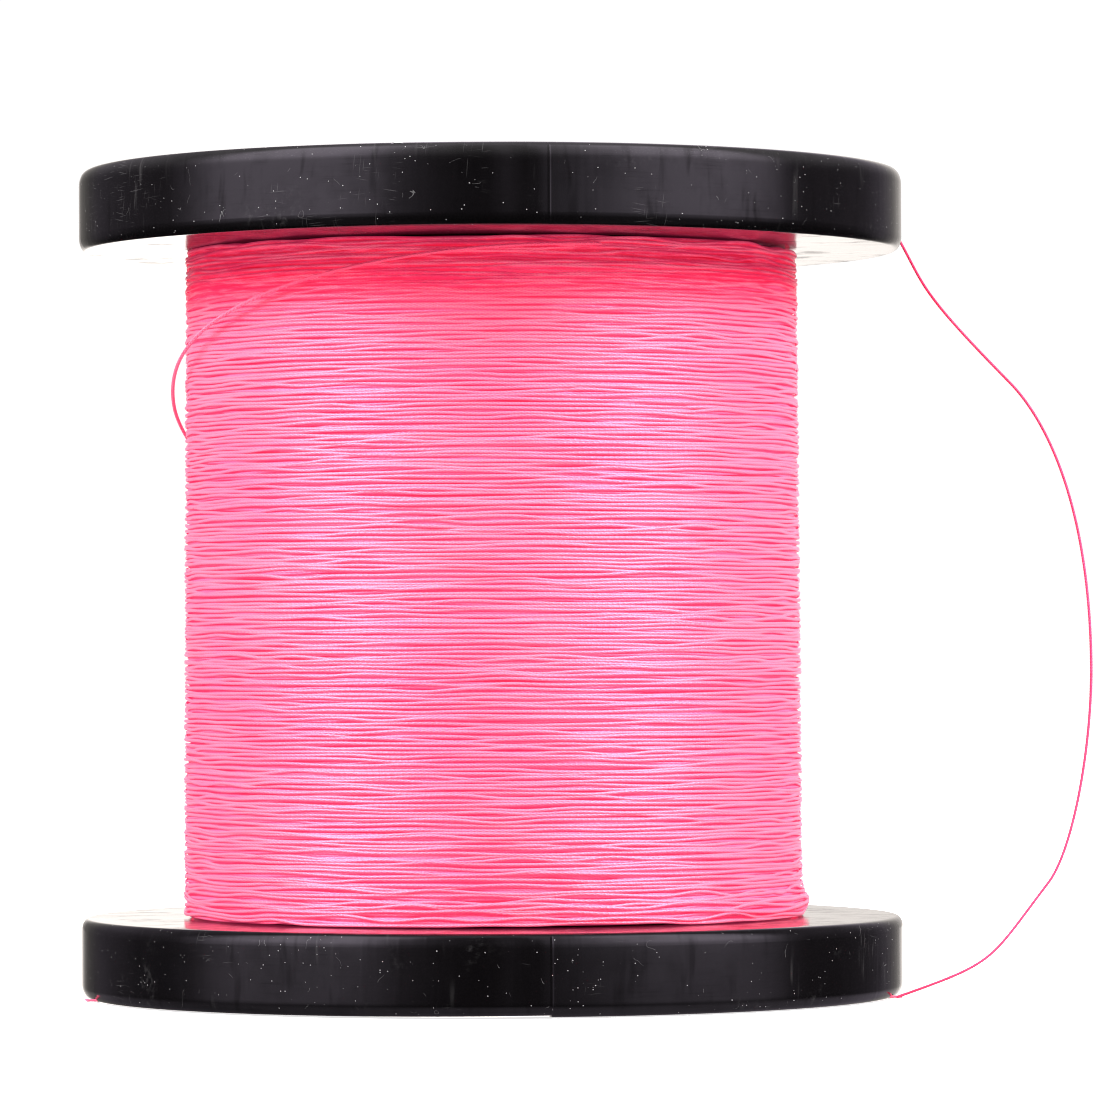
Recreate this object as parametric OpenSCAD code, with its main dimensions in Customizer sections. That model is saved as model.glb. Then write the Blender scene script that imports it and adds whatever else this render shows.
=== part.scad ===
// Cylindrical delivery spool filled with braided fishing line.
// +Z runs up the spool axis. The origin is on the axis, at the plane the
// bottom rim stands on. The line's free end hangs on the +X side.
// Angles named az are measured about +Z from -Y towards +X, so seen from -Y
// the right side is +X.

/* [Spool] */
// Diameter of both flanges (mm)
flange_d = 125; // [118:0.5:132]
// Overall length of the spool, rim to rim (mm)
overall_h = 125; // [110:1:140]
// Axial thickness of each flange rim (mm)
flange_t = 12; // [10:0.5:14]
// Radial thickness of the rim wall (mm)
rim_w = 3.2; // [2.6:0.1:4]
// Radius on the two outer corners of each rim (mm)
rim_r = 1.2; // [0.6:0.1:1.3]
// Thickness of the flange web that faces the line (mm)
web_t = 2.6; // [2:0.1:3]
// Number of radial ribs in the outer side of each flange
rib_count = 12; // [8:1:16]
// Thickness of a rib (mm)
rib_t = 1.6; // [1.2:0.1:2.2]
// Angle of the mould witness line on both rims (degrees)
witness_az = 7.8; // [0:0.1:40]

/* [Core] */
// Outside diameter of the drum the line is wound on (mm)
drum_d = 80; // [76:0.5:84]
// Wall thickness of the drum (mm)
drum_t = 2.5; // [2:0.1:3]
// Bore for the winder spindle (mm)
bore_d = 16; // [14:0.1:16.5]
// Outside diameter of the arbor tube (mm)
arbor_d = 20; // [19:0.1:21]

/* [Line] */
// Diameter of the braided line (mm)
line_d = 0.45; // [0.3:0.01:0.5]
// Radius of the full winding at the bottom flange (mm)
wound_r_bottom = 46.9; // [44:0.1:52]
// Radius of the full winding at the top flange (mm)
wound_r_top = 46.3; // [44:0.1:52]
// How far the free end bows out from the straight line between its two holds (mm)
tail_bow = 29.6; // [15:0.1:40]
// How far the loose turn stands off the winding at its slackest (mm)
loose_gap = 1.3; // [0.5:0.1:3]

/* [Line holds] */
// Angle of the slot in the top rim that the line comes out through (degrees)
slot_az = 148; // [140:0.5:155]
// Angle where the free end leaves the top rim (degrees)
hold_az = 99; // [90:0.5:110]
// Angle where the line passes under the bottom rim on the right (degrees)
notch_az = 74.5; // [70:0.5:80]
// Angle where the line passes under the bottom rim on the left (degrees)
notch_az_left = -73.4; // [-80:0.1:-70]
// Height of the top hold above the top flange's inner face (mm)
slot_rise = 3.8; // [2.5:0.1:4.5]

/* [Labels] */
// Outside diameter of the blank paper label on each end (mm)
label_d = 64; // [50:1:66]
// Inside diameter of the label (mm)
label_bore = 30; // [28:1:40]

/* [Hidden] */
flange_r = flange_d / 2;
arbor_r = arbor_d / 2;
bore_r = bore_d / 2;
drum_r = drum_d / 2;
drum_in_r = drum_r - drum_t;
line_r = line_d / 2;
rim_in_r = flange_r - rim_w;
inner_lo = flange_t;              // inner face of the bottom flange
inner_hi = overall_h - flange_t;  // inner face of the top flange

fit = 0.05;      // radial clearance round the spigot and round the arbor
overlap = 0.5;   // how far joined ribs run into their neighbours
cut_over = 1;    // how far cutters run past the face they cut
round_fn = 192;  // facets of the flanges, drum and winding
small_fn = 96;   // facets of the arbor tube and labels

flange_color = [0.035, 0.035, 0.038];
drum_color = [0.06, 0.06, 0.065];
arbor_color = [0.09, 0.09, 0.095];
label_color = [0.93, 0.92, 0.89];
line_color = [1, 0.5, 0.68];

// ---------- helpers ----------
function polar(az, r, z) = [r * sin(az), -r * cos(az), z];
function unit(v) = v / norm(v);

// Eased step from 0 to 1
function smooth(t) = t <= 0 ? 0 : t >= 1 ? 1 : t * t * (3 - 2 * t);

// Cubic Bezier from p0 to p3
function bezier(p0, p1, p2, p3, t) =
    pow(1 - t, 3) * p0 + 3 * pow(1 - t, 2) * t * p1
    + 3 * (1 - t) * t * t * p2 + pow(t, 3) * p3;

// Catmull-Rom span from p1 to p2
function spline(p0, p1, p2, p3, t) = 0.5 * (2 * p1 + (p2 - p0) * t
    + (2 * p0 - 5 * p1 + 4 * p2 - p3) * t * t
    + (3 * p1 - p0 - 3 * p2 + p3) * t * t * t);

// Catmull-Rom curve through all way points
function through(way, steps) = let (last = len(way) - 1) [
    for (i = [0 : last - 1]) for (j = [0 : steps - 1])
        spline(way[max(i - 1, 0)], way[i], way[i + 1], way[min(i + 2, last)], j / steps),
    way[last]];

// A round strand of line along a list of points. Each ring is square to the
// path, and ref is a direction that is never along the path.
module strand(path, ref = [0, 0, 1], sides = 8) {
    last = len(path) - 1;
    along = [for (i = [0 : last]) unit(path[min(i + 1, last)] - path[max(i - 1, 0)])];
    across = [for (dir = along) unit(cross(dir, ref))];
    upward = [for (i = [0 : last]) cross(across[i], along[i])];
    verts = [for (i = [0 : last]) for (k = [0 : sides - 1])
        let (turn = 360 * k / sides)
        path[i] + line_r * (cos(turn) * across[i] + sin(turn) * upward[i])];
    faces = concat(
        [[for (k = [0 : sides - 1]) k]],
        [for (i = [0 : last - 1]) for (k = [0 : sides - 1])
            let (ring = i * sides, next_ring = ring + sides, next_k = (k + 1) % sides)
            [ring + k, next_ring + k, next_ring + next_k, ring + next_k]],
        [[for (k = [sides - 1 : -1 : 0]) last * sides + k]]);
    polyhedron(points = verts, faces = faces, convexity = 6);
}

// ---------- flanges ----------
web_y = flange_t - web_t;      // depth of the web's outer side below the rim plane
panel_y = 1.2;                 // depth of the end panel below the rim plane
panel_t = 2.4;
boss_r = arbor_r + 3;          // outside radius of the hub boss
spigot_r = drum_in_r - fit;    // outside radius of the spigot inside the drum
spigot_w = 2.4;                // wall of the spigot
spigot_in_r = spigot_r - spigot_w;
spigot_h = 3;                  // how far the spigot reaches into the drum
rib_y = 1.6;                   // depth of the ribs' outer edge below the rim plane
stiffener_count = 6;
stiffener_h = 6;
witness_w = 0.16;
witness_proud = 0.06;
slot_w = 1.4;
slot_depth = 6;                // how far the slot cutter reaches in from the rim
slot_headroom = 0.5;           // slot height above the line's centre
channel_w = 1.2;
channel_depth = 0.75;
channel_extra = 3;             // how far the channel cutter runs past each hold
hold_z = inner_hi + slot_rise; // height of the top hold
hold_r = flange_r + 0.4;       // radius of both holds
start_az = 200;                // angle of the hole the line starts from
start_r = drum_r + 1.8;        // distance of that hole from the axis
start_hole_r = 0.6;

// Half section of a flange: x is the radius, y is the depth from the outer
// rim plane towards the line.
module flange_section() {
    corner_x = flange_r - rim_r;
    seam = 0.01;
    // rim wall with two rounded outer corners
    translate([rim_in_r, 0]) square([rim_w - rim_r, flange_t]);
    translate([corner_x - seam, rim_r]) square([rim_r + seam, flange_t - 2 * rim_r]);
    for (y = [rim_r, flange_t - rim_r])
        translate([corner_x, y]) circle(r = rim_r, $fn = 48);
    // web that faces the line
    translate([spigot_in_r, web_y]) square([rim_in_r - spigot_in_r + 0.1, web_t]);
    // spigot that centres the drum
    translate([spigot_in_r, panel_y]) square([spigot_w, flange_t + spigot_h - panel_y]);
    // end panel, which ends inside the spigot wall
    translate([arbor_r + fit, panel_y]) square([spigot_r - arbor_r - 1, panel_t]);
    // hub boss
    translate([arbor_r + fit, 0]) square([boss_r - arbor_r - fit, flange_t]);
}

// A flange with its outer side down
module flange() {
    rotate_extrude($fn = round_fn) flange_section();
    // ribs in the open side, between the spigot wall and the rim
    for (i = [0 : rib_count - 1]) rotate(360 * (i + 0.5) / rib_count)
        translate([spigot_r - overlap, -rib_t / 2, rib_y])
            cube([rim_in_r - spigot_r + 2 * overlap, rib_t, web_y - rib_y + overlap]);
    // stiffeners behind the end panel, between the hub and the spigot wall
    for (i = [0 : stiffener_count - 1]) rotate(360 / stiffener_count * i)
        translate([boss_r - overlap, -rib_t / 2, panel_y + panel_t - overlap])
            cube([spigot_in_r - boss_r + 2 * overlap, rib_t, stiffener_h]);
}

// Fine raised line left by the mould split, on the outside of the rim
module witness() {
    rotate(witness_az - 90) translate([flange_r - overlap, -witness_w / 2, rim_r])
        cube([overlap + witness_proud, witness_w, flange_t - 2 * rim_r]);
}

// Channel across the rim that lets the line pass under the standing spool
module under_channel() {
    right = polar(notch_az, hold_r, 0);
    left = polar(notch_az_left, hold_r, 0);
    span = left - right;
    middle = (right + left) / 2;
    translate(middle)
        rotate(atan2(span[1], span[0]))
            translate([-norm(span) / 2 - channel_extra, -channel_w / 2, -cut_over])
                cube([norm(span) + 2 * channel_extra, channel_w, channel_depth + cut_over]);
}

module bottom_flange() {
    color(flange_color) difference() {
        union() {
            flange();
            witness();
        }
        under_channel();
        // hole the line starts from
        translate(polar(start_az, start_r, web_y - cut_over))
            cylinder(h = web_t + 2 * cut_over, r = start_hole_r, $fn = 32);
    }
}

module top_flange() {
    color(flange_color) difference() {
        translate([0, 0, overall_h]) mirror([0, 0, 1]) union() {
            flange();
            witness();
        }
        // slot the line comes out through
        rotate(slot_az - 90)
            translate([flange_r - slot_depth, -slot_w / 2, inner_hi - cut_over])
                cube([slot_depth + 2, slot_w, cut_over + slot_rise + slot_headroom]);
    }
}

// ---------- core ----------
drum_gap = 0.02;  // space between the drum and each flange

module drum() {
    length = inner_hi - inner_lo;
    color(drum_color) difference() {
        translate([0, 0, inner_lo + drum_gap])
            cylinder(h = length - 2 * drum_gap, r = drum_r, $fn = round_fn);
        translate([0, 0, inner_lo - cut_over])
            cylinder(h = length + 2 * cut_over, r = drum_in_r, $fn = round_fn);
    }
}

module arbor_tube() {
    color(arbor_color) difference() {
        cylinder(h = overall_h, r = arbor_r, $fn = small_fn);
        translate([0, 0, -cut_over])
            cylinder(h = overall_h + 2 * cut_over, r = bore_r, $fn = small_fn);
    }
}

// ---------- labels ----------
label_t = 0.15;
label_gap = 0.02;  // space between a label and its end panel

module label(z) {
    color(label_color) translate([0, 0, z]) difference() {
        cylinder(h = label_t, r = label_d / 2, $fn = small_fn);
        translate([0, 0, -1]) cylinder(h = 3, r = label_bore / 2, $fn = small_fn);
    }
}

module bottom_label() {
    label(panel_y - label_gap - label_t);
}

module top_label() {
    label(overall_h - panel_y + label_gap);
}

// ---------- wound line ----------
wound_gap = 0.35;       // space between the winding and each flange
wound_drum_gap = 0.3;   // space between the winding and the drum

// Outside radius of the winding at height z
function wound_r(z) = wound_r_bottom
    + (wound_r_top - wound_r_bottom) * (z - inner_lo) / (inner_hi - inner_lo);

// The winding, tapered from one flange to the other
module wound_line() {
    low = inner_lo + wound_gap;
    high = inner_hi - wound_gap;
    color(line_color) difference() {
        translate([0, 0, low])
            cylinder(h = high - low, r1 = wound_r(low) - line_r,
                     r2 = wound_r(high) - line_r, $fn = round_fn);
        translate([0, 0, low - cut_over])
            cylinder(h = high - low + 2 * cut_over, r = drum_r + wound_drum_gap,
                     $fn = round_fn);
    }
}

// First end of the line: through its hole in the bottom web, with a stop knot
module line_start() {
    below_web = 2.6;
    above_web = 0.25;
    knot_r = 0.9;
    knot_gap = 0.08;
    color(line_color) translate(polar(start_az, start_r, 0)) {
        translate([0, 0, web_y - below_web])
            cylinder(h = below_web + web_t + above_web, r = line_r, $fn = 24);
        translate([0, 0, web_y - knot_r - knot_gap]) sphere(r = knot_r, $fn = 32);
    }
}

// ---------- loose turn ----------
loose_start_az = 20;
loose_end_az = -125;
loose_top_gap = 1.5;     // start height below the top flange
loose_drop = 52;         // fall over the whole of loose_drop_angle
loose_drop_angle = 170;
loose_drop_power = 2.11; // how late the fall sets in

function loose_z(az) = inner_hi - loose_top_gap
    - loose_drop * pow((loose_start_az - az) / loose_drop_angle, loose_drop_power);

// Stand-off from the winding: swells from az -8 to -78, dies away from -92 to -122
function loose_off(az) = line_r + 0.06 + loose_gap
    * smooth((-az - 8) / 70) * (1 - smooth((-az - 92) / 30));

// A slack turn that has climbed to the top flange and falls across the winding
module loose_turn() {
    steps = 64;
    color(line_color) strand([for (i = [0 : steps])
        let (az = loose_start_az + (loose_end_az - loose_start_az) * i / steps,
             z = loose_z(az))
        polar(az, wound_r(z) + loose_off(az), z)]);
}

// ---------- lead out ----------
// From the winding, out through the slot and round the outside of the top rim
module lead_out() {
    lay_gap = 0.05;                          // clearance of the line where it lies
    wound_z = inner_hi - 0.65;
    wound_lay = wound_r(wound_z) + line_r + lay_gap;
    rim_lay = flange_r + line_r + lay_gap;
    slot_in_r = flange_r - 2;                // radius where the line climbs the slot
    leave_az = slot_az + acos(wound_lay / slot_in_r);  // leaves the winding here
    turn_az = slot_az - 1.2;
    end_az = hold_az + 0.6 / rim_lay * 180 / PI;  // 0.6 mm short of the hold
    leave = polar(leave_az, wound_lay, wound_z);
    slot_foot = polar(slot_az, slot_in_r - 0.6, inner_hi - 0.5);
    way = concat(
        // along the winding
        [for (k = [0 : 4]) polar(leave_az + 24 - 6 * k, wound_lay, wound_z)],
        // straight out to the slot
        [for (k = [1 : 3]) leave + (slot_foot - leave) * k / 3.4],
        // up the slot and out over the rim
        [polar(slot_az + 0.15, slot_in_r - 0.8, inner_hi - 0.35),
         polar(slot_az, slot_in_r, inner_hi + 1.2),
         polar(slot_az, slot_in_r + 0.75, hold_z - 0.5),
         polar(slot_az, flange_r - 0.5, hold_z),
         polar(slot_az - 0.22, flange_r + 0.08, hold_z),
         polar(slot_az - 0.6, rim_lay, hold_z)],
        // round the rim
        [for (k = [0 : 14]) polar(turn_az + (end_az - turn_az) * k / 14, rim_lay, hold_z)]);
    color(line_color) strand(through(way, 4), ref = [0.3, 0.75, -0.6]);
}

// ---------- free end ----------
under_z = 0.32;  // height of the line's centre under the bottom rim

// The free end lies in one plane: tail_up runs up the straight line between
// the holds, tail_out stands off from it.
tail_low = polar(notch_az, hold_r, under_z);
tail_high = polar(hold_az, hold_r, hold_z);
tail_len = norm(tail_high - tail_low);
tail_up = unit(tail_high - tail_low);
tail_out = unit([1, 0, 0] - tail_up[0] * tail_up);

// Knots from the top hold down. Columns: share of the height, share of the bow,
// angle of travel outwards from straight down, handle length in, handle out
tail_knots = [
    [1,     0,     29,   10.4, 10.4],
    [0.798, 0.598, 43.5, 21.7, 6.5],
    [0.43,  1,     0,    26.8, 11.9],
    [0.147, 0.768, -37,  6.6,  15.3],
    [0,     0,     -70,  16,   16]];

function knot_place(knot) = [knot[0] * tail_len, knot[1] * tail_bow];
function knot_travel(knot) = [-cos(knot[2]), sin(knot[2])];

// Point at share t of the span between two knots
function tail_point(from, to, t) =
    let (flat = bezier(knot_place(from),
                       knot_place(from) + knot_travel(from) * from[4],
                       knot_place(to) - knot_travel(to) * to[3],
                       knot_place(to), t))
    tail_low + flat[0] * tail_up + flat[1] * tail_out;

module line_tail() {
    steps = 16;
    spans = len(tail_knots) - 1;
    color(line_color) strand(concat(
        [for (i = [0 : spans - 1]) for (j = [0 : steps - 1])
            tail_point(tail_knots[i], tail_knots[i + 1], j / steps)],
        [tail_point(tail_knots[spans - 1], tail_knots[spans], 1)]),
        ref = [0, 1, 0]);
}

// From the right hold, across under the bottom flange, to the cut end
module under_run() {
    right = polar(notch_az, flange_r - 0.1, under_z);
    left = polar(notch_az_left, flange_r - 0.6, under_z);
    way = concat(
        [for (k = [0 : 8]) right + (left - right) * k / 8],
        // the cut end turns up outside the rim
        [polar(notch_az_left, flange_r + 0.25, under_z + 0.12),
         polar(notch_az_left, flange_r + 0.9, under_z + 0.55)]);
    color(line_color) strand(through(way, 3), ref = [0, 1, 0.1]);
}

bottom_flange();
top_flange();
drum();
arbor_tube();
bottom_label();
top_label();
wound_line();
line_start();
loose_turn();
lead_out();
line_tail();
under_run();
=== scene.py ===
"""A spool of pink braided line: black flanges, arbor tube, drum, paper labels and the winding.

The spool stands on its bottom flange with its axis along Z and z = 0 at its foot. Lengths are
millimetres until a mesh is made; shaders and the studio use metres. Azimuths are degrees
from -Y (the front, where the camera stands) towards +X (the right).
"""

import math

import bmesh
import bpy
import numpy as np
from mathutils import Matrix, Vector


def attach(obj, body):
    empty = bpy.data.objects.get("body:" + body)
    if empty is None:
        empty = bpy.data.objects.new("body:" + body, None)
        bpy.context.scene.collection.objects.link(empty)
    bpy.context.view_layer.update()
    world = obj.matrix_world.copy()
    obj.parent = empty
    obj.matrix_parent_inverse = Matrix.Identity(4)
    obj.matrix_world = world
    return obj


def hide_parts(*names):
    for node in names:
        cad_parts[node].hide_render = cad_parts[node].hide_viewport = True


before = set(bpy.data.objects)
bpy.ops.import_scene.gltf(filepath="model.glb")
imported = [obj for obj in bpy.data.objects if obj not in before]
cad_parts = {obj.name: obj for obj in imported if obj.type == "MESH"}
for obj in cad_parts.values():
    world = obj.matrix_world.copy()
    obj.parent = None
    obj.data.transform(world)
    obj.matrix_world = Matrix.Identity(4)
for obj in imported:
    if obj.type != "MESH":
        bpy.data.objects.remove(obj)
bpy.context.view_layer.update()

MM = 0.001
rng = np.random.default_rng(20461)
scene = bpy.context.scene

# ---------------------------------------------------------------- sizes, mm and degrees
RADIUS = 62.5               # flanges
HEIGHT = 125.0
FLANGE = 12.0               # thickness of each flange
RIM_IN = RADIUS - 3.2       # inner face of the rim wall
RIM_ROUND = 1.2             # radial reach of the rounded rim edges
PANEL = 1.2                 # depth of the centre panel below the rim plane
PANEL_BACK = 3.6
POCKET = FLANGE - 2.6       # depth of the open pocket between panel and rim
HUB_R = 13.0
BORE_R = 10.05
COLLAR_IN, COLLAR_OUT = 35.05, 37.45    # wall between panel and pocket
SPLIT_AZ = 7.8              # raised line on the rim; a second one lies opposite
RIB_EDGE, RIB_ROOT, RIB_ROUND = 1.3, 1.75, 0.35     # rib thicknesses and edge rounding

ARBOR_IN, ARBOR_OUT = 8.0, 10.0
DRUM_IN, DRUM_OUT = 37.5, 40.0

Z_LO, Z_HI = FLANGE, HEIGHT - FLANGE    # inner faces of the flanges
LINE_R = 0.225
LINE_GAP = 0.05             # clearance of a strand lying on a surface
LAYER_RISE = 0.335          # radius gained by a layer of line
WOUND_LO, WOUND_HI = 46.9, 46.3         # winding radius at its two ends

START_AZ, START_R = 200.0, 41.8         # hole for the first end of the line
GROOVE_AZ, GROOVE_AZ_LEFT = 74.5, -73.4     # ends of the groove under the bottom flange
SLOT_AZ = 148.0             # slot in the top rim
HOLD_AZ, HOLD_Z, HOLD_R = 99.0, Z_HI + 3.8, RADIUS + 0.4    # upper hold of the free end
UNDER_Z = 0.32              # height of the strand in the groove


def wound_radius(z):
    return WOUND_LO + (WOUND_HI - WOUND_LO) * (z - Z_LO) / (Z_HI - Z_LO)


def polar(az, r, z):
    angle = np.radians(az)
    return np.stack([r * np.sin(angle), -r * np.cos(angle), z + 0 * angle], -1)


# ---------------------------------------------------------------- mesh tools
def new_mesh(name, verts, faces, materials, uv=None, sharp=None):
    """A smooth object from vertices in mm and faces that all have the same number of corners."""
    mesh = bpy.data.meshes.new(name)
    verts = np.asarray(verts, np.float64) * MM
    faces = np.asarray(faces, np.int32)
    count, corners = faces.shape
    mesh.vertices.add(len(verts))
    mesh.vertices.foreach_set("co", verts.astype(np.float32).ravel())
    mesh.loops.add(count * corners)
    mesh.loops.foreach_set("vertex_index", faces.ravel())
    mesh.polygons.add(count)
    starts = np.arange(0, count * corners, corners, dtype=np.int32)
    mesh.polygons.foreach_set("loop_start", starts)
    if uv is not None:
        layer = mesh.uv_layers.new(name="Strand")
        layer.data.foreach_set("uv", np.asarray(uv, np.float32).ravel())
    mesh.polygons.foreach_set("use_smooth", np.ones(count, bool))
    mesh.update(calc_edges=True)
    mesh.validate()
    for material in materials:
        mesh.materials.append(material)
    if sharp is not None:
        mesh.set_sharp_from_angle(angle=math.radians(sharp))
    ob = bpy.data.objects.new(name, mesh)
    scene.collection.objects.link(ob)
    return ob


def place(ob, body, node=None):
    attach(ob, body)
    if node:
        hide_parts(node)
    return ob


def ring_quads(columns, points):
    """Quads of a closed section of points repeated in columns round the axis."""
    here = np.arange(columns)[:, None] * points
    after = ((np.arange(columns) + 1) % columns)[:, None] * points
    k = np.arange(points)[None, :]
    k_next = (k + 1) % points
    quads = [here + k, after + k, after + k_next, here + k_next]
    return np.stack(quads, -1).reshape(-1, 4)


def lathe(name, section, material, count=192, sharp=35):
    """Turns a closed section of (radius, z) round the axis."""
    section = np.array(section, float)
    az = np.linspace(0, 360, count + 1)[:-1, None]
    verts = polar(az, section[None, :, 0], section[None, :, 1]).reshape(-1, 3)
    return new_mesh(name, verts, ring_quads(count, len(section)), [material], sharp=sharp)


def unit(vectors):
    return vectors / np.linalg.norm(vectors, axis=1)[:, None]


def lengths_along(path):
    steps = np.linalg.norm(np.diff(path, axis=0), axis=1)
    return np.concatenate([[0], np.cumsum(steps)])


class Tubes:
    """Collects closed quad tubes; their UVs are mm along and share around."""

    def __init__(self):
        self.verts, self.faces, self.uv, self.count = [], [], [], 0

    def tube(self, path, axis_a, axis_b, sides, radius_a, radius_b=None, start=0.0, phase=0.0):
        """An elliptical tube along the path; start is the UV length of its first ring."""
        radius_b = radius_a if radius_b is None else radius_b
        rings = len(path)
        along = lengths_along(path) + start
        turn = 2 * np.pi * (np.arange(sides) / sides) + phase
        verts = (path[:, None, :]
                 + radius_a * np.cos(turn)[None, :, None] * axis_a[:, None, :]
                 + radius_b * np.sin(turn)[None, :, None] * axis_b[:, None, :]).reshape(-1, 3)
        i = np.arange(rings - 1)[:, None] * sides
        k = np.arange(sides)[None, :]
        k_next = (k + 1) % sides
        faces = [i + k, i + k_next, i + sides + k_next, i + sides + k]
        faces = np.stack(faces, -1).reshape(-1, 4)
        around = np.arange(sides + 1) / sides
        u0, u1 = np.repeat(along[:-1], sides), np.repeat(along[1:], sides)
        v0, v1 = np.tile(around[:-1], rings - 1), np.tile(around[1:], rings - 1)
        corners = ((u0, v0), (u0, v1), (u1, v1), (u1, v0))
        uv = np.stack([np.stack(corner, -1) for corner in corners], 1)
        # flat caps: strips of quads across the even-sided end rings
        caps, cap_uv = [], []
        for base, flip in ((0, True), ((rings - 1) * sides, False)):
            for j in range(sides // 2 - 1):
                quad = [base + j, base + j + 1, base + sides - 2 - j, base + sides - 1 - j]
                caps.append(quad[::-1] if flip else quad)
                cap_uv.append([[start, 0.5]] * 4)
        self.verts.append(verts)
        self.faces.append(np.concatenate([faces, np.array(caps, int)]) + self.count)
        self.uv.append(np.concatenate([uv, np.array(cap_uv)]))
        self.count += len(verts)

    def build(self, name, material):
        return new_mesh(name, np.concatenate(self.verts), np.concatenate(self.faces),
                        [material], uv=np.concatenate(self.uv), sharp=80)


def catmull(points, count):
    """A Catmull-Rom curve through the points, count samples to a span."""
    points = np.asarray(points, float)
    last = len(points) - 1
    t = np.arange(count)[:, None] / count
    spans = []
    for i in range(last):
        p0, p1, p2, p3 = points[max(i - 1, 0)], points[i], points[i + 1], points[min(i + 2, last)]
        spans.append(0.5 * (2 * p1 + (p2 - p0) * t + (2 * p0 - 5 * p1 + 4 * p2 - p3) * t * t
                            + (3 * p1 - p0 - 3 * p2 + p3) * t ** 3))
    spans.append(points[-1:])
    return np.concatenate(spans)


BRAID_PITCH = 3.7           # length in which a carrier goes once round
BRAID_STEP = 0.115          # spacing of the rings
CARRIERS_EACH_WAY = 4


def braid(tubes, path, ref, radius):
    """A core and eight flat carriers, four each way round, woven over and under along the path.

    ref is a direction that the path never runs along; it fixes the ring axes.
    """
    along = lengths_along(path)
    count = max(4, int(along[-1] / BRAID_STEP))
    s = np.linspace(0, along[-1], count + 1)
    centre = np.stack([np.interp(s, along, path[:, i]) for i in range(3)], -1)
    heading = unit(np.gradient(centre, axis=0))
    axis_a = unit(np.cross(heading, np.asarray(ref, float)))
    axis_b = np.cross(axis_a, heading)
    tubes.tube(centre, axis_a, axis_b, 8, radius * 0.62)
    each = CARRIERS_EACH_WAY
    for way in (1, -1):
        # a carrier goes over at one crossing and under at the next
        lift = way * np.cos(each * (2 * np.pi * s / BRAID_PITCH))
        carrier_r = radius * (0.70 + 0.115 * lift)
        for k in range(each):
            angle = (way * 2 * np.pi * s / BRAID_PITCH + 2 * np.pi * k / each
                     + (np.pi / each if way < 0 else 0))
            outward = np.cos(angle)[:, None] * axis_a + np.sin(angle)[:, None] * axis_b
            carrier = centre + carrier_r[:, None] * outward
            tangent = unit(np.gradient(carrier, axis=0))
            side = unit(np.cross(tangent, outward))
            tubes.tube(carrier, np.cross(side, tangent), side, 6,
                       radius * 0.20, radius * 0.44, start=k * 7.3)


# ---------------------------------------------------------------- node tools
class Value:
    """An output socket; arithmetic on it adds math nodes."""

    def __init__(self, net, socket):
        self.net, self.socket = net, socket

    def __add__(self, other):
        return self.net.math("ADD", self, other)

    def __sub__(self, other):
        return self.net.math("SUBTRACT", self, other)

    def __rsub__(self, other):
        return self.net.math("SUBTRACT", other, self)

    def __mul__(self, other):
        return self.net.math("MULTIPLY", self, other)

    def __truediv__(self, other):
        return self.net.math("DIVIDE", self, other)

    def linear(self, slope, offset):
        return self.net.math("MULTIPLY_ADD", self, slope, offset)


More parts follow.
